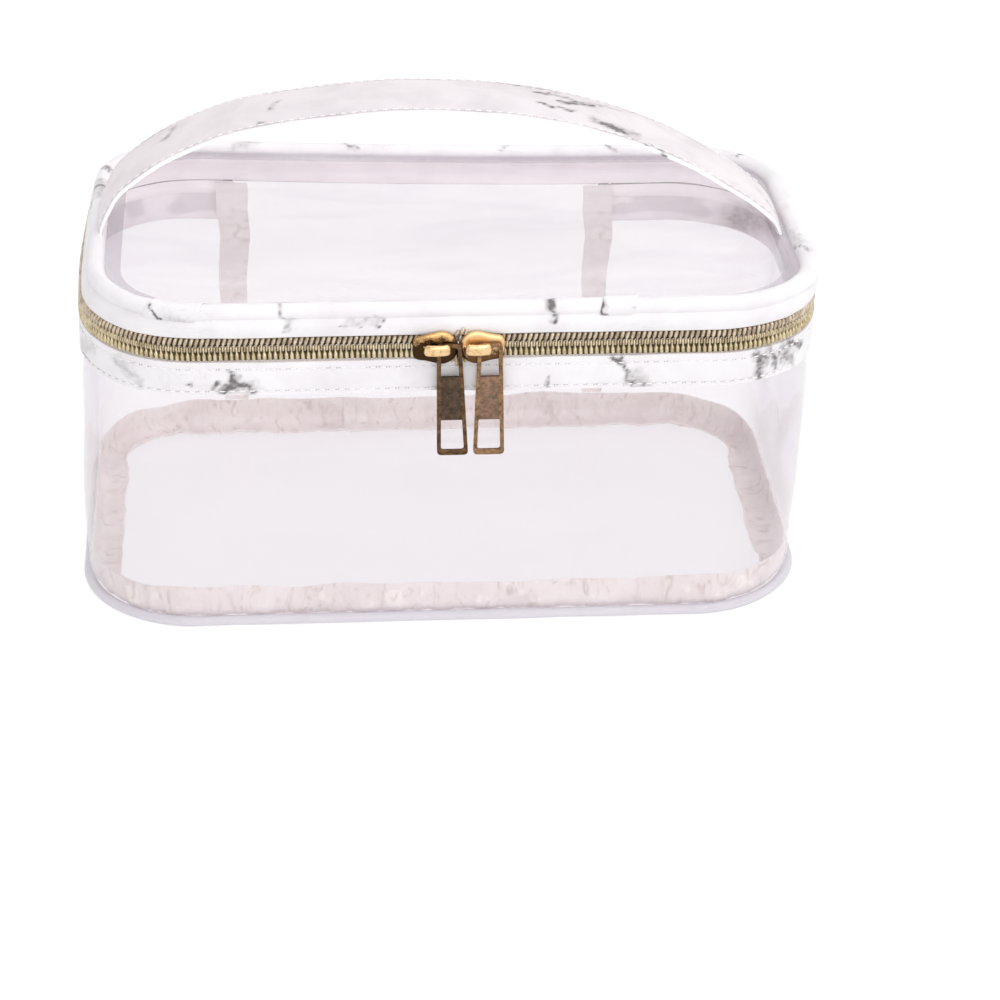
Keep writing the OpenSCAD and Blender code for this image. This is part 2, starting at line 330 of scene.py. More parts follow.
def smooth_path(points, count):
    """A curve through given points, evenly spaced along its length."""
    p = np.array(points, float)
    p = np.vstack([2 * p[0] - p[1], p, 2 * p[-1] - p[-2]])
    t = np.linspace(0, len(p) - 3 - 1e-9, count * 6)
    k = t.astype(int)
    f = (t - k)[:, None]
    a, b, c, d = (p[k + n] for n in range(4))
    curve = 0.5 * (2 * b + (c - a) * f + (2 * a - 5 * b + 4 * c - d) * f ** 2
                   + (3 * b - a - 3 * c + d) * f ** 3)
    run = np.concatenate([[0], np.cumsum(np.linalg.norm(np.diff(curve, axis=0), axis=1))])
    even = np.linspace(0, run[-1], count)
    return np.stack([np.interp(even, run, curve[:, n]) for n in range(p.shape[1])], -1)


def rounded(points, radius, steps=4):
    """Closed outline with each corner of the polygon rounded off."""
    p = np.array(points, float)
    outline = []
    for before, at, after in zip(np.roll(p, 1, 0), p, np.roll(p, -1, 0)):
        back, on = before - at, after - at
        cut = min(radius, 0.45 * np.linalg.norm(back), 0.45 * np.linalg.norm(on))
        start = at + back / np.linalg.norm(back) * cut
        end = at + on / np.linalg.norm(on) * cut
        for t in np.linspace(0, 1, steps + 1):
            outline.append((1 - t) ** 2 * start + 2 * t * (1 - t) * at + t ** 2 * end)
    return np.array(outline)


def shrink(outline, amount):
    """The outline, drawn anticlockwise, moved inwards."""
    run = unit(np.roll(outline, -1, 0) - np.roll(outline, 1, 0))
    return outline + np.stack([-run[:, 1], run[:, 0]], -1) * amount


def plate(name, outline, steps, centre, material, crease=30):
    """A solid from an x-z outline; steps is (inset, y) from front to back."""
    rows = []
    for inset, y in steps:
        flat = shrink(outline, inset)
        rows.append(np.stack([flat[:, 0], np.full(len(flat), y), flat[:, 1]], -1))
    return loft(name, np.array(rows) + centre, [material], crease=crease)


def cut_out(name, outer, holes, depth, bevel, centre, material):
    """A flat part with holes, standing in the x-z plane, its edges rounded."""
    curve = bpy.data.curves.new(name, "CURVE")
    curve.dimensions = "2D"
    curve.fill_mode = "BOTH"
    curve.extrude = depth / 2 - bevel
    curve.bevel_depth = bevel
    curve.bevel_resolution = 2
    curve.offset = -bevel
    for loop in [outer, *holes]:
        spline = curve.splines.new("POLY")
        spline.points.add(len(loop) - 1)
        for point, (x, z) in zip(spline.points, loop):
            point.co = (x, z, 0, 1)
        spline.use_cyclic_u = True
    drawing = bpy.data.objects.new(name + "_drawing", curve)
    bpy.context.scene.collection.objects.link(drawing)
    bpy.context.view_layer.update()
    flat = bpy.data.meshes.new_from_object(drawing.evaluated_get(
        bpy.context.evaluated_depsgraph_get()))
    bpy.data.objects.remove(drawing)
    points = np.array([(v.co.x, -v.co.z, v.co.y) for v in flat.vertices]) + centre
    faces = [list(face.vertices) for face in flat.polygons]
    bpy.data.meshes.remove(flat)
    return make_piece(name, points, faces, [material], crease=30)


def join(name, pieces):
    """One piece from several closed solids."""
    with bpy.context.temp_override(active_object=pieces[0], object=pieces[0],
                                   selected_objects=pieces,
                                   selected_editable_objects=pieces):
        bpy.ops.object.join()
    pieces[0].name = name
    return pieces[0]


# ---- materials ----

class Shader:
    """A node tree under construction, for a material or for the world."""

    def __init__(self, owner):
        owner.use_nodes = True
        self.owner, self.tree = owner, owner.node_tree
        self.tree.nodes.clear()

    def add(self, kind, inputs=None, **settings):
        """A new node. An input is a value, a socket, or a node whose first output is used."""
        node = self.tree.nodes.new("ShaderNode" + kind)
        for key, value in settings.items():
            setattr(node, key, value)
        for key, value in (inputs or {}).items():
            socket = node.inputs[key]
            if isinstance(value, bpy.types.Node):
                value = value.outputs[0]
            if isinstance(value, bpy.types.NodeSocket):
                self.tree.links.new(value, socket)
            else:
                socket.default_value = (*value, 1) if socket.type == "RGBA" else value
        return node

    def math(self, operation, a, b=0.0, clamp=False):
        return self.add("Math", {0: a, 1: b}, operation=operation, use_clamp=clamp).outputs[0]

    def times(self, a, b, clamp=False):
        return self.math("MULTIPLY", a, b, clamp)

    def plus(self, a, b, clamp=False):
        return self.math("ADD", a, b, clamp)

    def mix(self, factor, a, b):
        """Colour a where the factor is 0, colour b where it is 1."""
        return self.add("Mix", {0: factor, 6: a, 7: b}, data_type="RGBA").outputs[2]

    def steps(self, factor, *stops):
        """A grey ramp through stops of (position, tone)."""
        node = self.add("ValToRGB", {"Fac": factor})
        ramp = node.color_ramp
        while len(ramp.elements) < len(stops):
            ramp.elements.new(0.5)
        for element, (position, tone) in zip(ramp.elements, stops):
            element.position = position
            element.color = (tone, tone, tone, 1)
        return node.outputs["Color"]

    def strip(self):
        """The piece's own strip coordinates; 1 is 100 mm."""
        return self.add("UVMap", uv_map="strip").outputs["UV"]

    def solid(self):
        """Coordinates fixed in the piece, in metres."""
        return self.add("TexCoord").outputs["Object"]

    def grey(self):
        """The print or shade worked out for each point of the mesh."""
        return self.add("Attribute", attribute_name="grey").outputs["Fac"]

    def noise(self, where, scale, detail=2.0, rough=0.5, warp=0.0):
        return self.add("TexNoise", {"Vector": where, "Scale": scale, "Detail": detail,
                                     "Roughness": rough, "Distortion": warp}).outputs["Fac"]

    def waves(self, where, scale, warp, direction, **more):
        inputs = {"Vector": where, "Scale": scale, "Distortion": warp}
        inputs.update({key.replace("_", " "): value for key, value in more.items()})
        return self.add("TexWave", inputs, bands_direction=direction).outputs["Fac"]

    def stretch(self, where, amounts):
        return self.add("Mapping", {"Vector": where, "Scale": amounts})

    def bump(self, height, distance, strength=1.0):
        return self.add("Bump", {"Height": height, "Distance": distance, "Strength": strength})

    def principled(self, base, rough, normal, more=None):
        return self.add("BsdfPrincipled", {"Base Color": base, "Roughness": rough,
                                           "Normal": normal, **(more or {})})

    def finish(self, shader, kind="OutputMaterial"):
        self.add(kind, {"Surface": shader})
        return self.owner


def new_shader(name):
    return Shader(bpy.data.materials.new(name))


def marble_material(name, white=(0.80, 0.775, 0.795), shade=(0.72, 0.69, 0.715)):
    """White synthetic leather with a fine grain and soft grey printed veins."""
    m = new_shader(name)
    where = m.strip()
    cloudy = m.noise(where, 5.5, 3, 0.6, 0.4)
    base = m.mix(m.steps(cloudy, (0.42, 0), (0.72, 1)), white, shade)
    faint = m.noise(m.stretch(where, (0.6, 1.4, 1)), 9, 4, 0.65, 2.2)
    line = m.math("ABSOLUTE", m.math("SUBTRACT", faint, 0.5))
    where_thin = m.steps(m.noise(where, 2.7, 1), (0.55, 0), (0.66, 1))
    thin = m.times(m.steps(line, (0.0, 1), (0.012, 0)), where_thin)
    base = m.mix(m.times(thin, 0.28), base, (0.42, 0.40, 0.42))
    speckle = m.noise(where, 42, 3, 0.6, 0.8)
    broken = m.times(m.grey(), m.plus(0.55, m.times(speckle, 0.9)))
    ink = m.steps(broken, (0.05, 0), (0.35, 0.30), (0.75, 0.95))
    base = m.mix(ink, base, (0.12, 0.105, 0.105))
    grain = m.add("TexVoronoi", {"Vector": where, "Scale": 120.0}).outputs["Distance"]
    height = m.plus(m.times(grain, 0.6), m.times(m.noise(where, 260, 2, 0.6), 0.4))
    rough = m.plus(0.34, m.times(m.noise(where, 40, 2), 0.16))
    return m.finish(m.principled(base, rough, m.bump(height, 0.00006, 0.5), {
        "Specular IOR Level": 0.45, "Subsurface Weight": 0.06, "Subsurface Scale": 0.002,
        "Subsurface Radius": (1.0, 0.8, 0.8)}))


def lining_material():
    """The knitted cloth on the back of the synthetic leather, with painted shade from the grey attribute
    and a faint glow as painted light.
    """
    m = new_shader("cloth_backing")
    where = m.strip()
    threads = m.waves(m.stretch(where, (1, 0.3, 1)), 62.0, 1.2, "X", Detail=1.0, Detail_Scale=2.0)
    cloth = m.times(threads, m.waves(where, 55.0, 0.8, "Y"))
    patch = m.steps(m.noise(where, 7, 3, 0.6, 0.3), (0.38, 0), (0.7, 1))
    base = m.mix(patch, (0.95, 0.895, 0.91), (0.87, 0.80, 0.825))
    base = m.mix(m.times(cloth, 0.25), base, (0.97, 0.93, 0.945))
    # painted shade: where the grey attribute is set the cloth turns a shaded brown, broken up by creases;
    # on the zipper tapes these are painted shade patches, on the trims' backs they follow the print marks
    # of the front
    creases = m.noise(m.stretch(where, (1.0, 0.4, 1)), 26, 3, 0.6, 1.2)
    shade = m.times(m.grey(), m.plus(0.4, creases), clamp=True)
    base = m.mix(shade, base, (0.30, 0.235, 0.22))
    # painted light: the cloth glows faintly in its own colour, brightening it inside the case
    return m.finish(m.principled(base, 0.85, m.bump(cloth, 0.0001, 0.6), {
        "Specular IOR Level": 0.25, "Sheen Weight": 0.1,
        "Emission Color": base, "Emission Strength": 0.09}))


def binding_material():
    """Creased beige binding tape, a little translucent, with painted shade in the crease valleys and
    painted highlight on the crests.
    """
    m = new_shader("binding_tape")
    where = m.strip()
    folds = m.noise(m.stretch(where, (1.0, 0.45, 1)), 24, 4, 0.62, 1.4)
    broad = m.steps(m.noise(where, 4.5, 2, 0.5, 0.5), (0.35, 0), (0.7, 1))
    base = m.mix(broad, (0.95, 0.89, 0.87), (0.87, 0.80, 0.785))
    # painted shade in the crease valleys and painted highlight on the crests, from the same noise as the
    # creases' bump
    base = m.mix(m.steps(folds, (0.30, 0.75), (0.46, 0)), base, (0.68, 0.58, 0.555))
    base = m.mix(m.steps(folds, (0.58, 0), (0.75, 0.8)), base, (0.97, 0.945, 0.935))
    fine = m.noise(m.stretch(where, (1.6, 0.5, 1)), 90, 3, 0.6, 0.8)
    height = m.plus(folds, m.times(fine, 0.25))
    body = m.principled(base, m.plus(0.42, m.times(fine, 0.2)), m.bump(height, 0.0007, 0.8),
                        {"Specular IOR Level": 0.4})
    glow = m.add("BsdfTranslucent", {"Color": base})
    return m.finish(m.add("MixShader", {0: 0.12, 1: body, 2: glow}))


def vinyl_material(name, tint, edge_tint, haze, haze_colour=(0.86, 0.86, 0.90), folds=0.0):
    """Clear soft vinyl: a tinted see-through sheet with a gloss that grows at a slant."""
    m = new_shader(name)
    where = m.solid()
    facing = m.add("LayerWeight", {"Blend": 0.5}).outputs["Facing"]
    slant = m.math("POWER", facing, 4.0)
    colour = m.mix(m.math("POWER", facing, 2.2), tint, edge_tint)
    if folds:
        streak = m.noise(m.stretch(where, (0.22, 1.0, 1.0)), 34, 2, 0.5, 1.0)
        streak = m.steps(streak, (0.50, 0), (0.60, 1), (0.70, 0))
        colour = m.mix(m.times(streak, folds), colour, (0.80, 0.775, 0.81))
    clear = m.add("BsdfTransparent", {"Color": colour})
    normal = m.bump(m.noise(where, 55, 2, 0.5, 0.6), 0.0006, 0.55)
    cloud = m.noise(where, 14, 3, 0.6, 0.8)
    gloss = m.principled(haze_colour, 0.07, normal, {"Specular IOR Level": 0.55})
    amount = m.plus(m.times(slant, 0.45), m.times(m.plus(cloud, 0.5), haze), clamp=True)
    mixed = m.add("MixShader", {0: amount, 1: clear, 2: gloss})
    shine = m.add("BsdfGlossy", {"Color": (1, 1, 1), "Roughness": 0.06, "Normal": normal})
    edge = m.plus(0.02, m.times(slant, 0.30), clamp=True)
    return m.finish(m.add("MixShader", {0: edge, 1: mixed, 2: shine}))


def metal_material(name, bright, dark, rough, wear=0.5, grit=900.0, depth=0.00004, level=None):
    """Plated zinc with dark patina in patches; if a level (in mm) is given, it is also painted bright
    above that height and dark below it, painted highlight over painted shade.
    """
    m = new_shader(name)
    where = m.solid()
    patch = m.noise(where, 620, 4, 0.7, 0.6)
    # painted highlight above the level and painted shade below it
    if level is not None:
        height = m.add("SeparateXYZ", {0: where}).outputs["Z"]
        above = m.times(m.math("SUBTRACT", height, level * MM), 75.0)
        patch = m.plus(patch, above, clamp=True)
    base = m.mix(m.steps(patch, (wear - 0.12, 0), (wear + 0.12, 1)), dark, bright)
    fine = m.noise(where, grit, 3, 0.7)
    roughness = m.plus(rough, m.times(fine, 0.22))
    return m.finish(m.principled(base, roughness, m.bump(fine, depth, 0.7), {"Metallic": 1.0}))


def teeth_material(name, bright, dark):
    """Metallised nylon teeth: part gloss plastic, part metal."""
    m = new_shader(name)
    where = m.solid()
    base = m.mix(m.steps(m.noise(where, 420, 3, 0.6), (0.35, 0), (0.65, 1)), dark, bright)
    normal = m.bump(m.noise(where, 900, 2), 0.00004, 0.6)
    return m.finish(m.principled(base, 0.34, normal, {"Metallic": 0.6}))


def thread_material():
    """Twisted white sewing thread, painted darker in the grooves of its twist."""
    m = new_shader("sewing_thread")
    twist = m.waves(m.solid(), 900.0, 1.0, "DIAGONAL")
    # painted shade in the grooves of the twist, from the same waves as its bump
    base = m.mix(twist, (0.80, 0.76, 0.77), (0.93, 0.91, 0.92))
    return m.finish(m.principled(base, 0.6, m.bump(twist, 0.00005), {"Sheen Weight": 0.3}))


def painted_shade_material(name, tone, other):
    """A near-black material, painted shade: the cord seen between the zipper teeth and the needle holes.
    """
    m = new_shader(name)
    fleck = m.noise(m.solid(), 700, 2)
    return m.finish(m.principled(m.mix(fleck, tone, other), 0.8, m.bump(fleck, 0.00008)))


MARBLE = marble_material("marble_leather")
# the strap: a darker, more mauve copy of the trim's leather, painted shade
SHADED_STRAP_MARBLE = marble_material("strap_leather_painted_shade", (0.74, 0.69, 0.715), (0.645, 0.595, 0.62))
# the strap's cut edges: a lighter copy of the leather, painted highlight
HIGHLIGHT_EDGE = marble_material("strap_edge_painted_highlight", (0.93, 0.92, 0.93), (0.90, 0.885, 0.90))
LINING = lining_material()
BINDING = binding_material()
VINYL = vinyl_material("clear_vinyl", (0.979, 0.970, 0.978), (0.935, 0.918, 0.935), 0.014)
VINYL_LID = vinyl_material("lid_vinyl", (0.983, 0.975, 0.982), (0.93, 0.91, 0.93), 0.02,
                           folds=0.12)
VINYL_FLOOR = vinyl_material("floor_vinyl", (0.983, 0.973, 0.978), (0.94, 0.925, 0.94), 0.02)
BEAD_VINYL = vinyl_material("bead_vinyl", (0.84, 0.81, 0.84), (0.67, 0.64, 0.68), 0.30)
FROSTED = vinyl_material("frosted_edge", (0.93, 0.91, 0.925), (0.84, 0.82, 0.84), 0.14,
                         (0.72, 0.70, 0.72))
THREAD = thread_material()
# painted shade: the dark needle holes at the ends of each stitch
SHADE_HOLE = painted_shade_material("needle_hole_painted_shade", (0.30, 0.27, 0.28), (0.42, 0.39, 0.40))
# painted shade: the near-black cord fills the gaps between the teeth
SHADE_CORD = painted_shade_material("zip_cord_painted_shade", (0.050, 0.035, 0.022), (0.11, 0.085, 0.05))
TEETH_LOW = teeth_material("teeth_olive", (0.74, 0.64, 0.43), (0.42, 0.34, 0.19))
# the lid's row: a darker, less yellow copy of the same teeth, painted shade under the rim
SHADED_TEETH_TOP = teeth_material("teeth_painted_shade", (0.72, 0.61, 0.47), (0.36, 0.28, 0.20))
GOLD = metal_material("bright_gold", (0.88, 0.62, 0.34), (0.40, 0.22, 0.10), 0.17, 0.38)
# one casting metal in two copies: lighter for the right slider, painted light, and darker for the left
# slider and the zipper ends, painted shade
LIT_GOLD_CAST = metal_material("gold_casting_painted_light", (0.84, 0.56, 0.28), (0.13, 0.065, 0.028), 0.22, 0.5,
                           level=104.4)
SHADED_BRONZE = metal_material("dark_bronze_painted_shade", (0.74, 0.46, 0.20), (0.05, 0.027, 0.012), 0.26, 0.5,
                        level=108.0)
# the pulls' plate and rail metal each in two copies: darker for the left pull, painted shade, and lighter
# for the right pull, painted light
ANTIQUE = metal_material("antique_plate", (0.125, 0.085, 0.058), (0.06, 0.042, 0.030), 0.36, 0.5,
                         1500.0, 0.00016)
LIT_ANTIQUE = metal_material("antique_plate_painted_light", (0.33, 0.195, 0.125), (0.15, 0.105, 0.08),
                               0.36, 0.5, 1500.0, 0.00016)
RAIL = metal_material("dark_rail", (0.20, 0.115, 0.06), (0.07, 0.04, 0.022), 0.28, 0.5)
LIT_RAIL = metal_material("rail_painted_light", (0.38, 0.225, 0.12), (0.13, 0.075, 0.04), 0.28, 0.5)


def put(piece, body, slot, *nodes):
    """Attaches the piece to what it rides on and hides the CAD nodes it stands for; slot is not used."""
    if body:
        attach(piece, body)
    if nodes:
        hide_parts(*nodes)
    return piece


# ---- camera, floor and light ----

# fitted to the outline in the photograph, in millimetres and degrees
CAMERA_AT, CAMERA_AIM = (-60.3, -1004.55, 559.96), (23.8, 0.0, 5.3)
CAMERA_LENS, CAMERA_ROLL = 113.43, 1.05


def facing(place, target):
    return (Vector(target) - Vector(place)).to_track_quat("-Z", "Y")


def add_camera():
    data = bpy.data.cameras.new("camera")
    data.lens, data.sensor_width = CAMERA_LENS, 36.0
    data.clip_start, data.clip_end = 0.05, 30
    camera = bpy.data.objects.new("camera", data)
    place, target = Vector(CAMERA_AT) * MM, Vector(CAMERA_AIM) * MM
    camera.matrix_world = (Matrix.Translation(place) @ facing(place, target).to_matrix().to_4x4()
                           @ Matrix.Rotation(math.radians(CAMERA_ROLL), 4, "Z"))
    bpy.context.scene.collection.objects.link(camera)
    bpy.context.scene.camera = camera


def add_light(name, place, size, power):
    """A soft rectangular light aimed at the middle of the case."""
    data = bpy.data.lights.new(name, "AREA")
    data.shape = "RECTANGLE"
    data.size, data.size_y = size
    data.energy = power
    light = bpy.data.objects.new(name, data)
    light.location = place
    light.rotation_euler = facing(place, (0, 0, 0.06)).to_euler()
    bpy.context.scene.collection.objects.link(light)


WORLD_LIGHT, WORLD_SLANT = 1.10, 0.22
WORLD_TONES = [(0.0, 0.97), (0.28, 0.92), (0.40, 0.66), (0.58, 0.70), (0.74, 1.04), (1.0, 1.06)]


def add_world():
    """A white studio: a grey band by height for the vinyl and metal to mirror, lighter to the right."""
    world = bpy.data.worlds.new("studio")
    bpy.context.scene.world = world
    m = Shader(world)
    split = m.add("SeparateXYZ", {0: m.add("TexCoord").outputs["Generated"]})
    band = m.steps(split.outputs["Z"], *WORLD_TONES)
    side = m.add("Math", {0: split.outputs["X"], 1: WORLD_SLANT, 2: WORLD_LIGHT},
                 operation="MULTIPLY_ADD")
    lit = m.add("Background", {"Color": band, "Strength": side})
    seen = m.add("Background", {"Color": (1, 1, 1), "Strength": 1.02})
    by_camera = m.add("LightPath").outputs["Is Camera Ray"]
    m.finish(m.add("MixShader", {0: by_camera, 1: lit, 2: seen}), "OutputWorld")


def add_floor():
    m = new_shader("studio_floor")
    paper = m.noise(m.solid(), 30, 2)
    matt = m.add("BsdfDiffuse", {"Color": m.mix(paper, (0.14, 0.14, 0.14), (0.16, 0.16, 0.16))})
    glow = m.add("Emission", {"Color": (1, 1, 1), "Strength": 0.88})
    material = m.finish(m.add("AddShader", {0: matt, 1: glow}))
    reach, edges = 6000, 64
    points = [(reach * math.cos(t), reach * math.sin(t), -0.1) for t in circle(edges)]
    floor = make_piece("floor", points, [list(range(edges))], [material])
    if floor.data.polygons[0].normal.z < 0:
        floor.data.flip_normals()


def add_studio():
    add_world()
    add_light("key", (0.8, -0.9, 1.5), (1.1, 0.8), 5.5)
    add_light("top", (0.1, 0.3, 1.7), (1.4, 0.6), 2.5)
    add_light("front", (0.1, -2.1, 0.75), (1.6, 1.0), 8.3)
    bpy.context.scene.view_settings.view_transform = "Standard"


# ---- the clear body ----

def rear_s(x):
    """s of a point on the rear, from its x."""
    return math.copysign(LOOP / 2, x) - x


def loose_sheet(name, node, s, rows, foot, top, even, broad, fine, seed):
    """An upright vinyl sheet that bulges out between its sewn edges.

    foot and top are (height, length) of the ramps where it comes free; even is its plain bulge, and
    broad and fine are (depth, size) of its unevenness.
    """
    low, high = heights(node)
    z = np.linspace(low, high, rows)
    bulge = (even + broad[0] * bumps(s[:, None], z * 0.5, broad[1], seed)
             + fine[0] * bumps(s[:, None], z * 0.6, fine[1], seed + 1))
    line = upright(s, SHEET_IN - ramp(z, *foot) * ramp(z, *top) * bulge, low, high, rows)
    return ring(name, s, thicken(line, SHEET_T), [VINYL])


def vinyl_wall():
    s = stations(LEFT_SEAM, RIGHT_SEAM, STEP)
    piece = loose_sheet("vinyl_wall", "wall_panel", s, 30, (10, 26), (BAND[0] + 4, -14),
                        1.1, (0.45, 70), (0.12, 22), 11)
    return put(piece, "body", "clear_sheet", "wall_panel")


def vinyl_rear():
    s = stations(RIGHT_SEAM + 0.3, LOOP + LEFT_SEAM - 0.3, 3)
    piece = loose_sheet("vinyl_rear", "rear_panel", s, 44, (14, 20), (96, -14),
                        0.2, (0.4, 60), (0.1, 20), 13)
    put(piece, None, "clear_sheet", "rear_panel")
    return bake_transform(piece)


def disc(name, rim_inset, height, shape, material):
    """A thin sheet filling the outline; shape(x, y, t) lifts it, with t 0 in the middle, 1 at the rim."""
    s = all_round(3)
    t = np.concatenate([np.linspace(0, 0.92, 30), np.linspace(0.935, 1, 6)])
    x, y = plan(s[:, None], rim_inset)
    x, y, t = x * t, y * t, t + 0 * x
    z = height + shape(x, y, t)
    top = np.stack([x, y, z + SHEET_T / 2], -1)
    low = np.stack([x, y, z - SHEET_T / 2], -1)[:, ::-1]
    return loft(name, settle(np.concatenate([top, low], 1)), [material], closed=True, along=s)


def vinyl_floor():
    def shape(x, y, t):
        return ramp(t, 0.85, -0.3) * np.maximum(0, 0.5 + 0.5 * bumps(x, y, 80, 15))

    piece = disc("vinyl_floor", FOOT_IN + FOOT_R, SHEET_T / 2 + 0.05, shape, VINYL_FLOOR)
    return put(piece, "body", "clear_sheet", "bottom_panel")


def floor_bead():
    s = all_round(STEP)
    turn = circle(16)
    r = FOOT_R * (1 + 0.04 * wander(s, 25, 16))[:, None]
    section = np.stack([FOOT_IN + 1.25 * r * np.cos(turn), FOOT_R * 1.25 + 1.2 * r * np.sin(turn)], -1)
    section[..., 1] = np.maximum(section[..., 1], 0.02)
    piece = ring("floor_bead", s, section, [BEAD_VINYL], closed=True)
    return put(piece, "body", "clear_bead", "bottom_piping")


def corner_bend(s):
    """1 at the middle of each corner of the outline, falling to 0 at its ends."""
    run = np.abs((s + LOOP / 2) % LOOP - LOOP / 2)
    rear = STRAIGHT_X + ARC + 2 * STRAIGHT_Y
    return sum(np.sin(math.pi * ramp(run, start, ARC)) for start in (STRAIGHT_X, rear))


def crumple(s, v, seed):
    """Creases of a soft tape: sharp valleys between puffs."""
    big = 1 - 2 * np.abs(bumps(s, v * 0.5, 17, seed))
    small = 1 - 2 * np.abs(bumps(s, v * 0.6, 6.5, seed + 1))
    return 0.65 * big + 0.35 * small


def binding_line(s, seed):
    """Middle line of the floor binding: down the wall, round the corner and in over the floor."""
    x, y = plan(s, 0.0)
    front = np.clip(-y / HALF_Y, 0, 1) ** 2
    wall_top = 11.0 + 3.0 * front + 0.55 * wander(s, 30, seed)
    reach = (13.0 - 3.6 * corner_bend(s) + 0.35 * wander(s, 34, seed + 1)
             + 0.22 * wander(s, 10, seed + 2))
    lift = 0.9 + 0.9 * np.clip(wander(s, 24, seed + 3), 0, 1.2)
    corner = 4.2 + 1.2 * front
    t = np.linspace(0, 1, 9)
    low = 1.25
    wall = np.stack([3.1 + 0 * wall_top[:, None] * t,
                     wall_top[:, None] + (low + corner - wall_top)[:, None] * t], -1)
    a = np.linspace(0, math.pi / 2, 8)[1:-1]
    bend = np.stack([3.1 + corner[:, None] * (1 - np.cos(a)),
                     low + corner[:, None] * (1 - np.sin(a))], -1)
    flat = np.stack([(3.1 + corner)[:, None] + (reach - 3.1 - corner)[:, None] * t,
                     low + lift[:, None] * t ** 3], -1)
    line = np.concatenate([wall, bend, flat], 1)[:, ::-1]
    run = unit(np.gradient(line, axis=1))
    out = np.stack([-run[..., 1], run[..., 0]], -1)
    v = np.linspace(0, 20, line.shape[1])
    edge = np.clip(np.minimum(v, 20 - v) / 3, 0.35, 1)
    puff = 0.42 * crumple(s[:, None], v, seed + 5) * edge
    line = line - out * np.clip(puff, -0.5, 0.9)[..., None]
    line[..., 1] = np.maximum(line[..., 1], 1.0)
    return line


def floor_binding():
    s = all_round(1.3)
    section = thicken(binding_line(s, 21), BINDING_T)
    piece = ring("floor_binding", s, section, [BINDING], closed=True, crease=60)
    return put(piece, "body", "seam_tape", "bottom_tape")


def floor_binding_lap():
    low, high = box_mm("bottom_tape_lap")
    s = stations(rear_s(high[0]), rear_s(low[0]), 1.0)
    line = binding_line(s, 21)
    # moved a little up and in, to lie on top of the tape that it overlaps
    middle = line.mean(axis=(0, 1))
    line = line + (np.array([60.0, 40.0]) - middle) * 0.014
    section = thicken(line, 0.7)
    piece = ring("floor_binding_lap", s, section, [BINDING], crease=60)
    return put(piece, "body", "seam_tape", "bottom_tape_lap")


STITCH_ROWS = (BAND[1] - 2.5, BAND[0] + 1.3)


def wall_trim(marks):
    s = stations(LEFT_SEAM, RIGHT_SEAM, 1.0)
    z = np.linspace(BAND[0], BAND[1], 19)
    puff = 0.22 * np.sin(math.pi * (z - BAND[0]) / (BAND[1] - BAND[0]))
    groove = sum(0.22 * np.exp(-((z - at) / 0.5) ** 2) for at in STITCH_ROWS)
    inset = TRIM_IN - puff + groove + 0.08 * bumps(s[:, None], z, 14, 31)
    line = upright(s, inset, *BAND, 19)
    line[..., 1] += 0.25 * bumps(s[:, None], z * 0.1, 45, 32)
    section = thicken(line, TRIM_T)
    piece = ring("wall_trim", s, section, [MARBLE, LINING], sides=cloth_sides(section, 19),
                 marks=marks, seed=33)
    return put(piece, "body", "marble_trim", "wall_band")


def stitch_shape(length):
    """One stitch with a needle hole at each end."""
    thread = pebble(length / 2, 0.26, 0.24, 2.3, 8, 6)
    hole = pebble(0.20, 0.24, 0.10, 2.0, 6, 4)
    points, faces, slots = [thread[0]], list(thread[1]), [0] * len(thread[1])
    for side in (-1, 1):
        start = sum(len(p) for p in points)
        points.append(hole[0] + (side * (length / 2 + 0.18), 0, 0.14))
        faces += [[c + start for c in face] for face in hole[1]]
        slots += [1] * len(hole[1])
    return (np.concatenate(points), faces), slots


def wall_stitches():
    shape, slots = stitch_shape(2.1)
    spots = [(s, z, TRIM_IN - TRIM_T / 2 - 0.05, 0.04)
             for z in STITCH_ROWS for s in np.arange(LEFT_SEAM + 3, RIGHT_SEAM - 2, 3.3)]
    piece = scatter("wall_stitches", shape, spots, on_ring, [THREAD, SHADE_HOLE], slots)
    return put(piece, "body", "trim_lining")


def rear_binding(side, top_edges, foot_edges):
    """The tape over a rear seam; its two edges are given as offsets from the seam."""
    node = "rear_seam_" + side
    low, high = box_mm(node)
    seam = (low[0] + high[0]) / 2
    z = stations(low[2] + 0.5, ZIP_Z - 0.4, 1.1)[:, None]
    rise = (z - z[0]) / (z[-1] - z[0])
    u = np.linspace(0, 1, 13)
    left, right = (foot_edges[k] + (top_edges[k] - foot_edges[k]) * rise ** 1.3 for k in (0, 1))
    sway = 0.35 * wander(z, 30, 41) + 0.15 * wander(z, 9, 42)
    x = seam + left + (right - left) * u + sway
    puff = 0.30 * crumple(z + 3 * seam, u * 11, 43) * np.minimum(1, 6 * u * (1 - u))
    y = (low[1] + high[1]) / 2 - 0.3 - puff - 1.6 * ramp(z, 95, 5)
    points = np.concatenate([np.stack([x, y - 0.3, z + 0 * x], -1),
                             np.stack([x, y + 0.3, z + 0 * x], -1)[:, ::-1]], 1)
    points[..., 1] = np.minimum(points[..., 1], high[1] + 0.05)
    piece = loft("rear_binding_" + side, settle(points), [BINDING], along=z[:, 0], crease=60)
    return put(piece, "body", "seam_tape", node)


# ---- zipper ----

# painted shade: brown patches on the cloth inside the right end, where it lies in shade, as (s, height
# minus inset) points
PAINTED_SHADE_MARKS = [(7, 0.75, [(229, 98), (247, 92)]), (6, 0.45, [(206, 97), (222, 92)]),
               (7, 0.8, [(165, 98), (200, 91)]), (6, 0.6, [(140, 97), (160, 94)]),
               (4, 0.2, [(-215, 97), (-190, 96)])]

MEET_S = (box_mm("slider_left")[1][0] + box_mm("slider_right")[0][0]) / 2 - LEAN


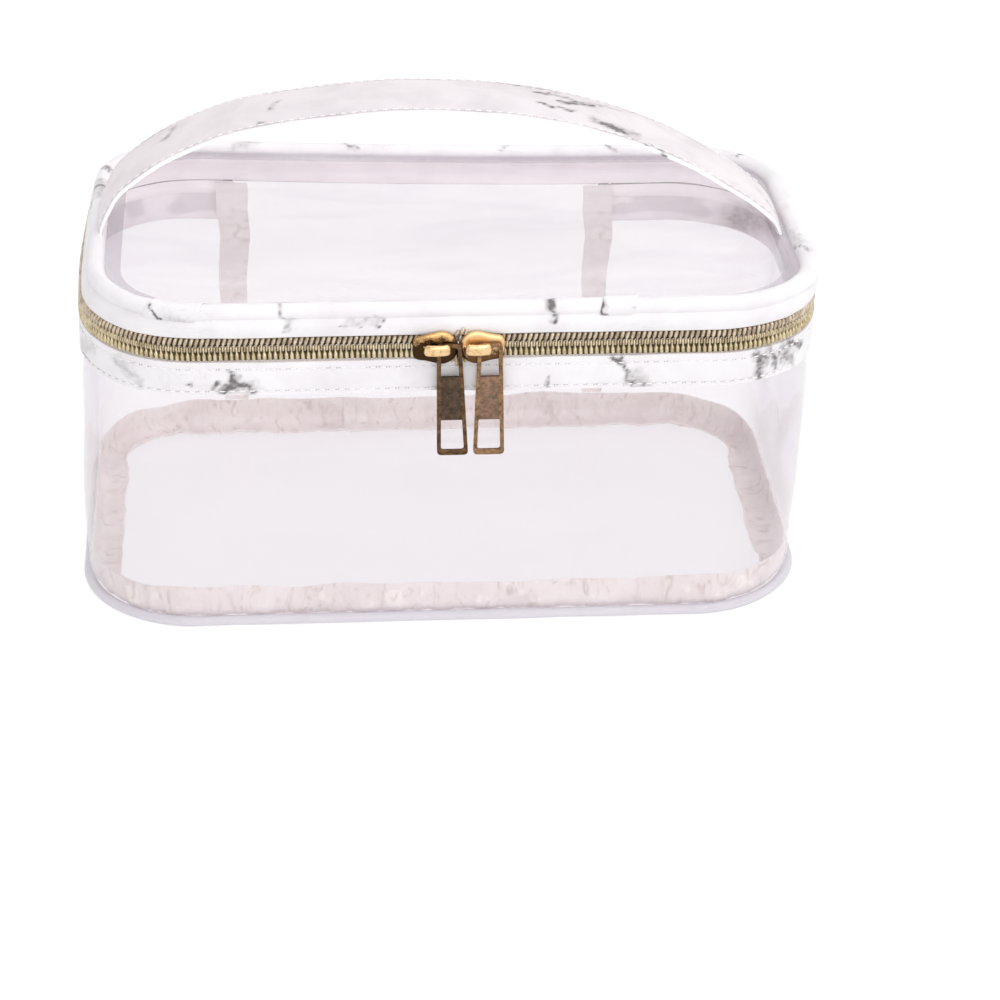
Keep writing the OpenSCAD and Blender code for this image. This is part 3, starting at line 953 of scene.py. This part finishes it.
def zip_tape(name, s, edge, row_edge, meet, body, node, seed, closed=False, top_in=ZIP_TAPE_IN):
    """A tape from its sewn edge to the row of teeth, then passing behind the teeth to meet."""
    up = 1 if meet > edge else -1
    mid_in = max(ZIP_TAPE_IN + 0.1, top_in - 3.0)
    path = smooth_path([(top_in, edge), (mid_in, row_edge - 2.6 * up),
                        (mid_in + 0.1, row_edge - 0.8 * up), (3.35, row_edge + 1.2 * up),
                        (3.45, meet - 1.2 * up), (3.35, meet)], 19)[::up]
    line = path + 0 * s[:, None, None]
    line[..., 0] += 0.10 * bumps(s[:, None], path[:, 1], 16, seed)
    line[:, 0 if up < 0 else -1, 1] += 0.12 * wander(s, 30, seed + 1)
    piece = ring(name, s, thicken(line, TAPE_T * 0.8), [LINING], closed=closed, marks=PAINTED_SHADE_MARKS,
                 seed=seed)
    return put(piece, body, "trim_lining", node)


def parted(s):
    """How far the rows are pushed apart between the two sliders, 0 to 1."""
    return np.exp(-((s - MEET_S) / 3.4) ** 2)


def tooth_shape():
    """One tooth, its head at v = 0.9 beyond the meeting line and its legs at v = -4."""
    reach = np.array([1.0, 0.75, 0.2, -0.45, -1.0, -1.5, -2.1, -3.4, -3.9, -4.05])
    half = np.array([0.22, 0.42, 0.47, 0.44, 0.36, 0.42, 0.70, 0.68, 0.55, 0.25])
    deep = np.array([0.35, 0.80, 0.95, 0.90, 0.75, 0.85, 1.20, 1.15, 0.95, 0.45])
    turn = np.arange(8) * math.pi / 4 + math.pi / 8
    cos, sin = squared(np.cos(turn), 0.7), squared(np.sin(turn), 0.7)
    rows = [np.stack([h * cos, v + 0 * turn, d * sin], -1)
            for v, h, d in zip(reach, half, deep)]
    points = np.concatenate(rows)
    last = len(reach) - 1
    faces = [[k * 8 + a, k * 8 + (a + 1) % 8, k * 8 + 8 + (a + 1) % 8, k * 8 + 8 + a]
             for k in range(last) for a in range(8)]
    return points, faces + [list(range(8)), list(range(last * 8, last * 8 + 8))]


def zip_row(name, row, up, material, body, node):
    """One row of teeth on its cord. up is 1 for the lid's row and -1 for the body's."""
    first, last = LEFT_SEAM + 4.6, RIGHT_SEAM - 4.6
    spots = np.arange(first, last, TOOTH_PITCH) + (TOOTH_PITCH / 2 if up > 0 else 0.0)
    z = ZIP_Z + up * 3.2 * parted(spots)
    tilt = (0.06 - (spots - MEET_S) * 0.10 * parted(spots)) * up
    out = 1.25 - 1.2 * parted(spots)
    points, faces = tooth_shape()
    shape = (points * (1, -up, 1), faces)
    teeth = scatter(name, shape, np.stack([spots, z, out, tilt], -1), on_ring, [material])
    s = stations(first - 0.8, last + 0.8, STEP)
    lift = up * 2.6 * parted(s)[:, None]
    turn = circle(10)
    half = (row[1] - row[0]) / 2
    section = np.stack([2.2 + 0.7 * np.cos(turn) + 0 * lift,
                        (row[0] + row[1]) / 2 + lift + (half - 0.1) * np.sin(turn)], -1)
    # the cord's near-black colour is painted shade in the gaps between the teeth
    cord = ring(name + "_cord", s, section, [SHADE_CORD])
    return put(join(name, [teeth, cord]), body, "teeth", node)


def zip_end(side):
    node = "zip_stop_" + side
    low, high = box_mm(node)
    base, faces = pebble(2.1, 2.2, 1.6, 5.0, 16, 10)
    place = rear_s((low[0] + high[0]) / 2)
    points = on_ring(place + base[:, 0], (low[2] + high[2]) / 2 + base[:, 1], 1.5 + base[:, 2])
    piece = make_piece("zip_end_" + side, points, faces, [SHADED_BRONZE])
    return put(piece, "body", "gold", node)


# ---- lid ----

def vinyl_lid():
    def shape(x, y, t):
        long_folds = bumps(x * 0.22, y, 17, 51) * np.exp(-((y + 52) / 14) ** 2)
        loose = 0.9 * bumps(x, y, 120, 52) + 0.22 * bumps(x, y, 38, 53) + 0.5 * long_folds
        return ramp(t, 1, -0.12) * loose - 0.8 * ramp(t, 1, -0.5)

    piece = disc("vinyl_lid", RIM_IN + RIM_R - 0.2, RIM_Z, shape, VINYL_LID)
    return put(piece, "lid", "clear_sheet", "lid_panel")


def lid_edge_tape():
    s = all_round(STEP)
    t = np.linspace(RIM_IN + RIM_R - 0.4, RIM_IN + RIM_R + 5.2, 9)
    wave = 0.12 * bumps(s[:, None], t, 16, 54)
    line = np.stack([t + 0 * wave, RIM_Z - 0.62 + wave * 0.5], -1)
    piece = ring("lid_edge_tape", s, thicken(line, 0.5), [FROSTED], closed=True)
    return put(piece, "lid", "trim_lining", "lid_tape")


def rim_lean(s):
    """How far the rim leans out past the zipper on the right side."""
    x, y = plan(s, 0.0)
    return ramp(x, 95, 25) * ramp(np.abs(y), 80, -30)


def lid_trim(marks):
    s = all_round(1.0)
    z = np.linspace(UPPER_ROW[1] - 0.3, RIM_Z - 1.4, 15)
    up = np.linspace(0, 1, 15)
    inset = TRIM_IN - 0.75 * np.sin(math.pi * up) + 0.5 * up ** 2 - 0.8 * rim_lean(s)[:, None] * up
    line = upright(s, inset + 0.07 * bumps(s[:, None], z, 16, 61), z[0], z[-1], 15)
    line[:, 0, 1] += 0.15 * wander(s, 40, 62)
    section = thicken(line, TRIM_T)
    piece = ring("lid_trim", s, section, [MARBLE, LINING], closed=True,
                 sides=cloth_sides(section, 15), marks=marks, seed=63)
    return put(piece, "lid", "marble_trim", "lid_band")


def rim_section(s, turn, grow=0.0):
    """The rim bead's skin at angles turn, 0 pointing inwards and a quarter turn up."""
    s = s if s.ndim == 2 else s[:, None]
    swell = RIM_R + grow + 0.06 * bumps(s, turn * 3, 13, 64)
    lean = 0.8 * rim_lean(s)
    wide = 1 + 0.20 * rim_lean(s)
    return np.stack([RIM_IN - lean + wide * swell * np.cos(turn),
                     RIM_Z + swell * np.sin(turn)], -1)


def rim_bead(marks):
    s = all_round(1.2)
    turn = circle(28) + math.pi / 2
    piece = ring("rim_bead", s, rim_section(s, turn), [MARBLE], closed=True, marks=marks, seed=65)
    return put(piece, "lid", "marble_trim", "lid_rim")


def rim_cuff(name, node, start, end, slant, marks, seed):
    """A wrap over the bead's joint, cut at a slant."""
    t = np.linspace(0, 1, 40)[:, None]
    outer = np.linspace(-0.30, math.pi + 0.75, 26)
    u = (outer - outer[0]) / (outer[-1] - outer[0]) - 0.5
    s = start + (end - start) * t + slant * u
    lip = 1 - np.exp(-((t * (1 - t)) / 0.012))
    out = rim_section(s, outer, 0.55)
    base = rim_section(s, outer, 0.02)
    out = base + (out - base) * (0.55 + 0.45 * lip)[..., None]
    section = np.concatenate([out, base[:, ::-1]], 1)
    s_all = np.concatenate([s, s[:, ::-1]], 1)
    x, y = plan(s_all, section[..., 0])
    points = settle(np.stack([x, y, section[..., 1]], -1))
    grey = veins(s_all, section[..., 1], marks, seed)
    piece = loft(name, points, [MARBLE], along=s[:, 0], grey=grey)
    return put(piece, "lid", "marble_trim", node)


def hinge_trim():
    s = stations(RIGHT_SEAM + 0.2, LOOP + LEFT_SEAM - 0.2, 2.0)
    low, high = heights("hinge_strip")
    line = upright(s, TRIM_IN + 0.3 + 0.06 * bumps(s[:, None], np.linspace(0, 7, 16), 14, 71),
                   low - 1.2, high + 0.6, 16)
    section = thicken(line, 1.2)
    piece = ring("hinge_trim", s, section, [MARBLE, LINING], sides=cloth_sides(section, 16),
                 marks=[], seed=72)
    put(piece, None, "trim_lining", "hinge_strip")
    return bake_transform(piece)


# ---- handle ----

STRAP_PATH = smooth_path([(-115.6, 116.0), (-115.3, 120.5), (-113.0, 127.0), (-106.8, 136.0),
                          (-90, 147.6), (-65, 156.9), (-25, 162.3), (0, 162.7), (28, 160.4),
                          (55, 154.4), (80, 144.8), (103, 131.2), (114.8, 121.8),
                          (118.2, 116.0)], 190)
STRAP_ROW = STRAP_W / 2 - 2.3
STRAP_RUN = np.concatenate([[0], np.cumsum(np.linalg.norm(np.diff(STRAP_PATH, axis=0), axis=1))])


def on_strap(u, v, w):
    """Points at distance u along the strap, v across it towards the rear, and w above it."""
    x, z = (np.interp(u, STRAP_RUN, STRAP_PATH[:, k]) for k in (0, 1))
    run = unit(np.gradient(STRAP_PATH, axis=0))
    dx, dz = (np.interp(u, STRAP_RUN, run[:, k]) for k in (0, 1))
    ends = np.minimum(u, STRAP_RUN[-1] - u)
    cup = 0.5 * (1 - (v / (STRAP_W / 2)) ** 2)
    w = w + cup
    narrow = 1 - 0.06 * np.exp(-((ends - 2) / 14) ** 2)
    return np.stack([x - dz * w, v * narrow + 0 * x, z + dx * w], -1)


def put_strap(piece, slot, *nodes):
    """Hides the CAD nodes and bakes the strap piece's placement into its mesh, on no body; the strap
    bends between its sewn ends, on the lid, and the handle above them.
    """
    put(piece, None, slot, *nodes)
    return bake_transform(piece)


def strap_layer(name, low, high, half, materials, marks, slot, *nodes):
    u = stations(0, STRAP_RUN[-1], 1.3)
    count = 33
    v = np.linspace(-1, 1, count)
    edge = np.abs(v) ** 8 * 0.32
    wave = 0.10 * bumps(u[:, None], v * half, 26, 81)
    groove = 0.14 * np.exp(-((np.abs(v) * half - STRAP_ROW) / 0.5) ** 2)
    across = v * half + 0.12 * bumps(u[:, None], v * 0, 60, 82)
    top = on_strap(u[:, None], across, high - edge + wave - groove)
    bottom = on_strap(u[:, None], across, low + edge + wave)[:, ::-1]
    points = np.concatenate([top, bottom], 1)
    along = np.broadcast_to(u[:, None], points.shape[:2])
    across = np.concatenate([across, across[:, ::-1]], 1)
    grey = veins(along, across, marks, 83)
    # the cut edges of the strap take the last material, on the strap's face a lighter copy of its leather
    # as painted highlight
    sides = np.zeros(2 * count, int)
    sides[[0, count - 2, count - 1, count, -2, -1]] = len(materials) - 1
    piece = loft(name, points, materials, along=u, sides=sides, grey=grey, crease=50)
    return put_strap(piece, slot, *nodes)


def strap_stitches():
    shape, slots = stitch_shape(2.3)
    spots = [(u, v, 0.84, 0.03) for v in (-STRAP_ROW, STRAP_ROW)
             for u in np.arange(8, STRAP_RUN[-1] - 8, 3.5)]
    flipped = (shape[0] * (1, 1, -1), shape[1])
    piece = scatter("strap_stitches", flipped, spots, on_strap, [THREAD, SHADE_HOLE], slots)
    return put_strap(piece, "trim_lining")


# ---- sliders ----

def slider(side, metal):
    """The casting: two plates joined by a post at the nose. The nose points to the middle."""
    node = "slider_" + side
    low, high = box_mm(node)
    nose = 1 if side == "left" else -1
    half = (high[0] - low[0]) / 2 + 0.3
    middle = np.array([(low[0] + high[0]) / 2 - 0.3 * nose, 0, ZIP_Z + 0.15])
    up = (high[2] - low[2]) / 2
    right = [(-half, up * 0.72), (-half * 0.35, up * 0.86), (half * 0.28, up * 1.12),
             (half * 0.74, up * 0.86), (half, up * 0.30)]
    outline = [(x, -z) for x, z in right] + right[::-1]
    outline = np.array(outline) * (nose, 1)
    if nose < 0:
        outline = outline[::-1]
    outline = rounded(outline, 2.0, 5)
    front = [(1.5, low[1] - 0.05), (0.7, low[1] + 0.06), (0.2, low[1] + 0.35), (0, low[1] + 0.75),
             (0, low[1] + 1.15), (0.25, low[1] + 1.42), (0.8, low[1] + 1.5)]
    back = [(0.9, high[1] - 1.0), (0.25, high[1] - 0.92), (0, high[1] - 0.6), (0.2, high[1] - 0.2),
            (0.9, high[1])]
    faces = [plate("face", outline, front, middle, metal),
             plate("back", outline, back, middle, metal)]
    post = rounded([(half * 0.30 * nose, -0.9), (half * 0.92 * nose, -0.2),
                    (half * 0.92 * nose, 0.2), (half * 0.30 * nose, 0.9)][::nose], 0.3, 3)
    faces.append(plate("post", post, [(0, low[1] + 1.3), (0, high[1] - 0.9)], middle, metal))
    # the left casting's darker metal is painted shade, the right's lighter metal painted light
    return put(join("casting_" + side, faces), node, "antique_gold" if side == "left" else "gold",
               node)


def bridge(side, metal):
    """The raised bridge on the slider's face that the pull hangs on."""
    node = "bail_" + side
    low, high = box_mm(node)
    foot, bar = high[1] + 0.3, low[1] + 0.75
    x0, x1 = low[0] + 0.8, high[0] - 0.8
    path = smooth_path([(x0 - 0.2, foot), (x0, foot - 1.3), (x0 + 0.15, bar + 0.9), (x0 + 0.9, bar + 0.1),
                        ((x0 + x1) / 2, bar - 0.25), (x1 - 0.9, bar + 0.1), (x1 - 0.15, bar + 0.9),
                        (x1, foot - 1.3), (x1 + 0.2, foot)], 46)
    run = unit(np.gradient(path, axis=0))
    turn = circle(18)
    on_bar = np.clip((foot - path[:, 1] - 1.9) / 1.3, 0, 1)
    on_bar = on_bar ** 2 * (3 - 2 * on_bar)
    foot_flare = np.clip(1 - (foot - path[:, 1]) / 0.8, 0, 1)
    tall = (0.78 + 1.15 * on_bar + 0.5 * foot_flare)[:, None]
    thick = (0.72 + 0.18 * on_bar)[:, None]
    cos, sin = squared(np.cos(turn), 0.75), squared(np.sin(turn), 0.75)
    points = np.stack([path[:, :1] - run[:, 1:] * thick * cos,
                       path[:, 1:] + run[:, :1] * thick * cos,
                       ZIP_Z + 0.9 * on_bar[:, None] + tall * sin], -1)
    piece = loft("bridge_" + side, points, [metal], crease=50)
    return put(piece, "slider_" + side, "gold", node)


RAIL_W, FOOT_BAR, TAB_TOP = 1.4, 1.9, 8.2
PLATE_BELOW = (11.9, 27.9)  # upper and lower edge of the plate, measured from the tab's top


def pull(side, rail_metal, plate_metal, hang=0.0):
    """The tab: two rails and a cross bar round an eye, a thin textured plate and an open foot."""
    node = "pull_" + side
    low, high = box_mm(node)
    x, y = (low[0] + high[0]) / 2, (low[1] + high[1]) / 2
    foot, top = low[2], high[2]
    half_top, half_foot = TAB_TOP / 2, (high[0] - low[0]) / 2

    def outline(half_low, z_low, half_high, z_high, radius):
        """A trapezoid, slanted by the way the tab hangs."""
        line = rounded([(-half_low, z_low), (half_low, z_low), (half_high, z_high),
                        (-half_high, z_high)], radius)
        line[:, 0] += hang * (top - line[:, 1])
        return line

    def half_at(z):
        return half_top + (half_foot - half_top) * (top - z) / (top - foot) - 0.12

    outer = outline(half_foot, foot, half_top, top, 1.6)
    inside = outline(half_foot - RAIL_W + 0.05, foot + FOOT_BAR, half_top - RAIL_W, top - RAIL_W, 1.1)
    rails = cut_out("rails", outer, [inside[::-1]], high[1] - low[1], 0.28,
                    np.array([x, y, 0]), rail_metal)
    plate_top, plate_foot = (top - below for below in PLATE_BELOW)
    face = outline(half_at(plate_foot), plate_foot, half_at(plate_top), plate_top, 0.5)
    front = [(0.30, y - 0.66), (0.10, y - 0.60), (0, y - 0.4)]
    back = [(inset, 2 * y - at) for inset, at in front[::-1]]
    face_piece = plate("plate", face, front + back, np.array([x, 0, 0]), plate_metal)
    return put(join("tab_piece_" + side, [rails, face_piece]), "tab_" + side,
               "antique_gold", node)


# ---- the whole case ----

# veins on the wall band, as (s, height minus inset) points
WALL_MARKS = [
    (1.0, 0.75, [(-88, 92)]), (1.1, 0.8, [(-80.5, 90.5), (-79.5, 92)]),
    (1.7, 0.95, [(-77, 89.5), (-74.5, 93)]), (1.4, 0.9, [(-74, 95.5), (-73, 91)]),
    (1.8, 0.85, [(-72, 92), (-68, 90)]), (2.6, 0.45, [(-76, 90), (-67, 91)]),
    (0.9, 0.6, [(30, 91), (31, 89.5)]),
    (0.9, 1.0, [(52, 99.2), (55, 96.5)]), (1.2, 0.85, [(55, 96.5), (57.5, 92), (59.5, 88)]),
    (2.6, 0.45, [(58.5, 92), (63, 88.5)]),
    (2.2, 0.8, [(102, 97), (103, 90)]), (1.8, 0.75, [(106, 98), (110, 92)]),
    (2.6, 0.6, [(112, 97), (118, 91)]), (1.6, 0.8, [(115, 99), (122, 95)]),
    (2.0, 0.35, [(-115, 97), (-106, 91)]), (2.4, 0.3, [(-140, 92), (-128, 96)]),
    (1.2, 0.7, [(168, 98), (175, 92), (177, 88.5)]), (2.4, 0.4, [(172, 93), (181, 90)]),
    (1.1, 0.7, [(-176, 88.5), (-180, 93), (-188, 99)]), (2.2, 0.4, [(-182, 92), (-192, 95)]),
    (1.6, 0.8, [(236, 90), (240, 93), (247, 95)]), (1.3, 0.7, [(-243, 98), (-238, 92)]),
    (2.2, 0.45, [(-250, 92), (-240, 93)]), (1.1, 0.6, [(276, 97), (280, 91)]),
]

# veins on the rim bead and lid band
RIM_MARKS = [
    (1.2, 0.55, [(-60, 117), (-56, 112)]), (0.7, 1.0, [(-39.5, 112.5)]),
    (0.6, 0.9, [(-33.6, 113)]), (0.8, 1.0, [(-28.0, 112.8)]), (1.5, 0.3, [(-38, 114), (-28, 114)]),
    (1.0, 0.8, [(27.5, 118), (30.5, 112.5)]), (0.8, 1.0, [(30.4, 112.6)]),
    (0.9, 0.8, [(246, 119), (250, 115)]), (1.2, 0.9, [(-228.7, 118), (-226, 115)]),
    (1.2, 0.8, [(-211, 118), (-208, 114)]), (2.0, 0.4, [(-215, 117), (-200, 116)]),
    (1.3, 0.6, [(150, 119), (156, 113)]), (2.2, 0.35, [(156, 116), (168, 114)]),
    (1.2, 0.6, [(305, 119), (300, 113)]), (2.0, 0.35, [(-300, 118), (-290, 113)]),
    (1.0, 0.6, [(-330, 119), (-334, 114)]), (1.0, 0.5, [(340, 118), (343, 113)]),
]

# veins on the strap, as (distance along, distance across) points
STRAP_MARKS = [
    (1.0, 1.0, [(78.2, -1.8)]), (1.0, 0.95, [(74.5, -12.2)]), (0.8, 0.5, [(78.5, 0), (80.5, 5)]),
    (1.1, 0.75, [(168, 8), (178, 9), (186, 6)]), (1.2, 0.85, [(178, 3), (190, 6)]),
    (1.0, 0.8, [(170, -2), (182, -3.5)]), (0.8, 0.5, [(163, 12), (178, 13)]),
    (1.8, 1.0, [(192, -8), (199, -10)]), (2.6, 0.5, [(188, -7), (203, -9)]),
    (0.7, 0.7, [(200, -13), (214, -15)]), (0.9, 0.4, [(186, 8), (200, 10)]),
    (1.2, 0.5, [(44, 9), (40, 3)]), (1.0, 0.45, [(255, 2), (262, -6)]),
]


def build():
    vinyl_floor()
    floor_bead()
    floor_binding()
    floor_binding_lap()
    vinyl_wall()
    vinyl_rear()
    wall_trim(WALL_MARKS)
    wall_stitches()
    rear_binding("left", (-6.5, 5.5), (-2.5, 6.5))
    rear_binding("right", (-6, 5.5), (-2, 5.5))
    zip_end("left")
    zip_end("right")
    zip_tape("zip_tape_lower", stations(LEFT_SEAM, RIGHT_SEAM, STEP), BAND[0] + 0.3, LOWER_ROW[0],
             ZIP_Z - 0.35, "body", "lower_zip_tape", 91)
    zip_row("zip_teeth_lower", LOWER_ROW, -1, TEETH_LOW, "body", "lower_teeth")
    zip_row("zip_teeth_upper", UPPER_ROW, 1, SHADED_TEETH_TOP, "lid", "upper_teeth")
    zip_tape("zip_tape_upper", all_round(STEP), RIM_Z - 0.9, UPPER_ROW[1], ZIP_Z + 0.35, "lid",
             "upper_zip_tape", 92, closed=True, top_in=RIM_IN + RIM_R - 1.4)
    lid_trim(RIM_MARKS)
    rim_bead(RIM_MARKS)
    # the dark marks at the cuffs' cut ends are partly a printed stain and partly painted shade along the
    # cut
    rim_cuff("rim_cuff_left", "rim_sleeve_left", -104.5, -86.0, -5.0,
             [(0.8, 0.9, [(-104.5, 119), (-99, 113)]), (2.4, 0.3, [(-98, 116), (-90, 114)])], 66)
    rim_cuff("rim_cuff_right", "rim_sleeve_right", 46.0, 57.5, -3.0,
             [(0.9, 0.9, [(45.2, 119), (47.5, 115)]), (0.7, 0.6, [(56, 118), (58, 113)])], 67)
    lid_edge_tape()
    vinyl_lid()
    hinge_trim()
    strap_layer("strap_face", -0.55, 0.85, STRAP_W / 2, [SHADED_STRAP_MARBLE, HIGHLIGHT_EDGE], STRAP_MARKS,
                "marble_trim", "handle_strap", "handle_anchor_left", "handle_anchor_right")
    strap_layer("strap_back", -0.95, -0.45, STRAP_W / 2 - 2, [LINING], [],
                "trim_lining", "handle_lining")
    strap_stitches()
    slider("left", SHADED_BRONZE)
    slider("right", LIT_GOLD_CAST)
    bridge("left", GOLD)
    bridge("right", GOLD)
    pull("left", RAIL, ANTIQUE, hang=0.035)
    pull("right", LIT_RAIL, LIT_ANTIQUE)


add_camera()
add_floor()
add_studio()
build()
